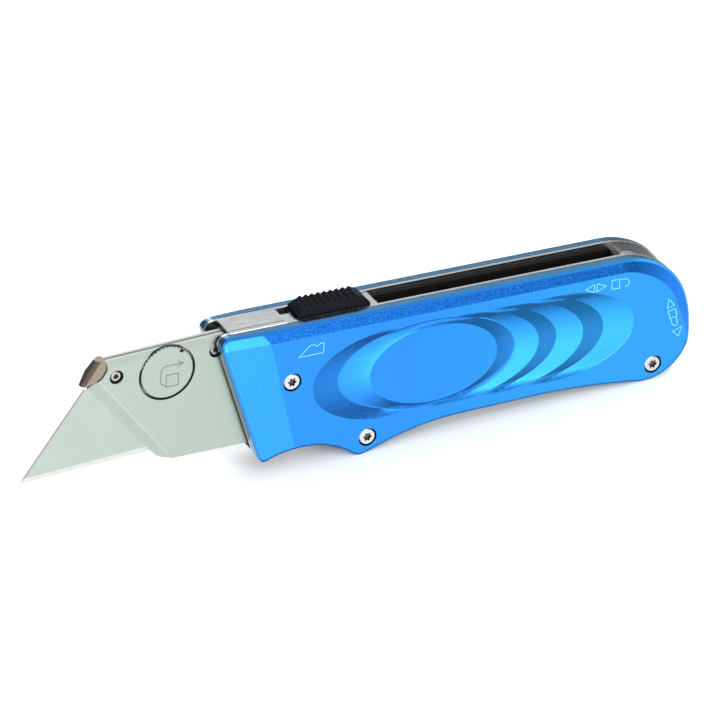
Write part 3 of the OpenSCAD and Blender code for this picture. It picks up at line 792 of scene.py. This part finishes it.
# ---------------------------------------------------------------- button springs
def spring_shell():
    """Both open rings, as low as the pressed slider leaves them."""
    low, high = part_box("button_springs")
    front, foot, half = low.x / MM - ORIGIN[0], low.z / MM - ORIGIN[2], high.y / MM
    r, tall, leaf, apart = 1.0, 0.72, 0.2, 10.2
    a = np.radians(np.linspace(21, 339, 60))
    cos, sin = np.cos(a), np.sin(a)
    shell = Shell()
    for x in (front + r, front + r + apart):
        rows = [shell.add(np.stack([x + (r - t) * cos, foot + tall + (tall - t) * sin], 1), y)
                for t, y in ((0, -half), (0, half), (leaf, half), (leaf, -half))]
        for u, v in zip(rows, rows[1:] + rows[:1]):
            for i in range(len(a) - 1):
                shell.face((v[i], v[i + 1], u[i + 1], u[i]))
        shell.face([row[0] for row in reversed(rows)])
        shell.face([row[-1] for row in rows])
    return shell


spring_shell().make("button_spring_rings", "carriage", [SPRING], stands_for=["button_springs"],
                    slot="spring_steel", sharp=35)

# ---------------------------------------------------------------- lock wheel's engraved sign
sign = Shell()
for line, closed in (
    ([(-27.3, 2.1), (-24.5, 2.1), (-24.5, 4.9), (-27.3, 4.9)], True),
    ([(-27.3, 2.1), (-28.6, 3.3), (-28.6, 5.9), (-28.4, 6.6), (-27.9, 7.0), (-27.2, 7.15),
      (-23.7, 7.15)], False),
    ([(-24.8, 7.9), (-23.5, 7.15), (-24.8, 6.4)], False),
):
    ribbon(sign, line, 0.2, level(wheel_y - 0.008), closed)
sign.make("wheel_sign", "wheel", [ENGRAVE], sharp=40)

# ---------------------------------------------------------------- floor, light and camera
# The knife stands on its lobe and on the tail's lower corner, so the floor is tilted in its frame
TILT = math.radians(2.84)
LOBE_FOOT = (16.9, 0, -21.44)
FLOOR_SIZE = 6.0
floor_mesh = bpy.data.meshes.new("floor")
floor_corners = [(x * FLOOR_SIZE, y * FLOOR_SIZE, 0) for x, y in ((-1, -1), (1, -1), (1, 1), (-1, 1))]
floor_mesh.from_pydata(floor_corners, [], [(0, 1, 2, 3)])
floor = bpy.data.objects.new("floor", floor_mesh)
floor.location = Vector(place([LOBE_FOOT])[0])
floor.rotation_euler = (0, -TILT, 0)
bpy.context.scene.collection.objects.link(floor)
pale = bpy.data.materials.new("pale_floor")
pale.use_nodes = True
pale.node_tree.nodes["Principled BSDF"].inputs["Base Color"].default_value = (0.86, 0.87, 0.87, 1)
pale.node_tree.nodes["Principled BSDF"].inputs["Roughness"].default_value = 0.9
floor_mesh.materials.append(pale)
floor.visible_glossy = False

# The studio, by the direction (x, |y|, z) in which a ray leaves the knife. Each pair of numbers is
# the span over which an edge fades.
# Softbox: strength, lean, right side as x over |y|, lower side as z over |y|, top, left side, and
# the x over which it rises from its least share to the whole
SOFT_L, SOFT_LEAN, SOFT_RIGHT, SOFT_BOTTOM = 5.3, -0.034, (0.23, 0.432), (-0.657, -0.602)
SOFT_TOP, SOFT_LEFT, SOFT_CORE, SOFT_LEAST = (0.8, 0.5), (-0.97, -0.6), (0.02, 0.14), 0.27
# Pale ground: strength, upper side, right side, and the part close by that is dark except on the
# left
GROUND_L, GROUND_TOP, GROUND_RIGHT = 1.25, (-0.482, -0.3), (0.315, 0.795)
GROUND_NEAR, GROUND_NEAR_RIGHT = (-0.78, -0.5), (-0.1, 0.1)
# Wall: strength low and high up, and where it rises
WALL_L, WALL_RISE = (0.38, 0.85), (0.25, 0.6)
# Light beyond the tail, and the dim corner behind the blade
TAIL_L, TAIL_RISE = 0.85, (0.62, 0.9)
DIM_CORNER, DIM_DEPTH, DIM_RIGHT = 0.88, (0, 0.3), (-0.35, -0.1)


def studio():
    """A studio that the metal mirrors: a low softbox in front, pale ground that darkens towards the
    tail, and a wall that is brighter higher up. It is the same in front of both scales, apart from
    a dim corner behind the blade. The camera sees white."""
    world = bpy.data.worlds.new("studio")
    bpy.context.scene.world = world
    world.use_nodes = True
    nodes, links = world.node_tree.nodes, world.node_tree.links

    def math_node(kind, a, b=None):
        """A Math node's output; a and b are numbers or other outputs."""
        node = nodes.new("ShaderNodeMath")
        node.operation = kind
        for socket, value in zip(node.inputs, (a, b)):
            if isinstance(value, (int, float)):
                socket.default_value = value
            elif value is not None:
                links.new(value, socket)
        return node.outputs[0]

    def span(value, a, b, low, high):
        """low where value is a, high where it is b, and a smooth change between them."""
        node = nodes.new("ShaderNodeMapRange")
        node.interpolation_type = "SMOOTHSTEP"
        for name, v in (("From Min", a), ("From Max", b), ("To Min", low), ("To Max", high)):
            node.inputs[name].default_value = v
        links.new(value, node.inputs["Value"])
        return node.outputs["Result"]

    split = nodes.new("ShaderNodeSeparateXYZ")
    links.new(nodes.new("ShaderNodeTexCoord").outputs["Generated"], split.inputs[0])
    x, y, z = split.outputs
    front = math_node("ABSOLUTE", y)
    u, v = math_node("DIVIDE", x, front), math_node("DIVIDE", z, front)
    soft = span(math_node("ADD", u, math_node("MULTIPLY", v, SOFT_LEAN)), *SOFT_RIGHT, SOFT_L, 0)
    for value, edge, low in (
        (v, SOFT_BOTTOM, 0), (z, SOFT_TOP, 0), (x, SOFT_LEFT, 0), (x, SOFT_CORE, SOFT_LEAST)
    ):
        soft = math_node("MULTIPLY", soft, span(value, *edge, low, 1))
    ground = math_node("MULTIPLY", span(z, *GROUND_TOP, GROUND_L, 0), span(x, *GROUND_RIGHT, 1, 0))
    close_by = math_node("MAXIMUM", span(z, *GROUND_NEAR, 0, 1), span(x, *GROUND_NEAR_RIGHT, 1, 0))
    ground = math_node("MULTIPLY", ground, close_by)
    wall = math_node("ADD", span(z, *WALL_RISE, *WALL_L), span(x, *TAIL_RISE, 0, TAIL_L))
    light = math_node("ADD", math_node("ADD", soft, ground), wall)
    dim = math_node("MULTIPLY", span(y, *DIM_DEPTH, 0, DIM_CORNER), span(x, *DIM_RIGHT, 1, 0))
    light = math_node("MULTIPLY", light, math_node("SUBTRACT", 1.0, dim))
    seen = nodes.new("ShaderNodeLightPath").outputs["Is Camera Ray"]
    mix = nodes.new("ShaderNodeMix")
    links.new(seen, mix.inputs["Factor"])
    links.new(light, mix.inputs["A"])
    mix.inputs["B"].default_value = 1.0
    links.new(mix.outputs["Result"], nodes["Background"].inputs["Strength"])
    nodes["Background"].inputs["Color"].default_value = (1, 1, 1, 1)


studio()


def softbox(name, azimuth, elevation, distance, wide, high, power):
    """An area light that faces the knife and isn't mirrored in it. Azimuth 0 is in front of the
    left scale; angles are in degrees, and the distance and the sides in metres."""
    light = bpy.data.lights.new(name, "AREA")
    light.shape = "RECTANGLE"
    light.size, light.size_y = wide, high
    light.energy = power
    a, e = math.radians(azimuth), math.radians(elevation)
    away = Vector((math.sin(a) * math.cos(e), -math.cos(a) * math.cos(e), math.sin(e)))
    lamp = bpy.data.objects.new(name, light)
    lamp.rotation_mode = "QUATERNION"
    lamp.location = away * distance
    lamp.rotation_quaternion = away.to_track_quat("Z", "Y")
    lamp.visible_camera = False
    lamp.visible_glossy = False
    bpy.context.scene.collection.objects.link(lamp)


softbox("key", -22, 40, 1.2, 1.0, 0.8, 8)
softbox("top", 150, 65, 1.2, 1.4, 1.0, 8)

# The camera: the way back from the knife to it, the frame's right side, and the point it looks at
back = Vector((-0.4155, -0.7635, 0.4944)).normalized()
right = Vector((0.891, -0.4509, 0.0526))
right = (right - back * right.dot(back)).normalized()
above = back.cross(right)
target = Vector(place([(13.5, -10.8, 4.9)])[0])
distance = 1.4737
camera = bpy.data.objects.new("camera", bpy.data.cameras.new("camera"))
camera.data.lens = 350
camera.data.sensor_width = 36
camera.data.clip_start, camera.data.clip_end = 0.05, 30
turned = Matrix((right, above, back)).transposed().to_4x4()
camera.matrix_world = Matrix.Translation(target + back * distance) @ turned
bpy.context.scene.collection.objects.link(camera)
bpy.context.scene.camera = camera
bpy.context.scene.view_settings.view_transform = "Standard"
bpy.context.scene.view_settings.look = "None"
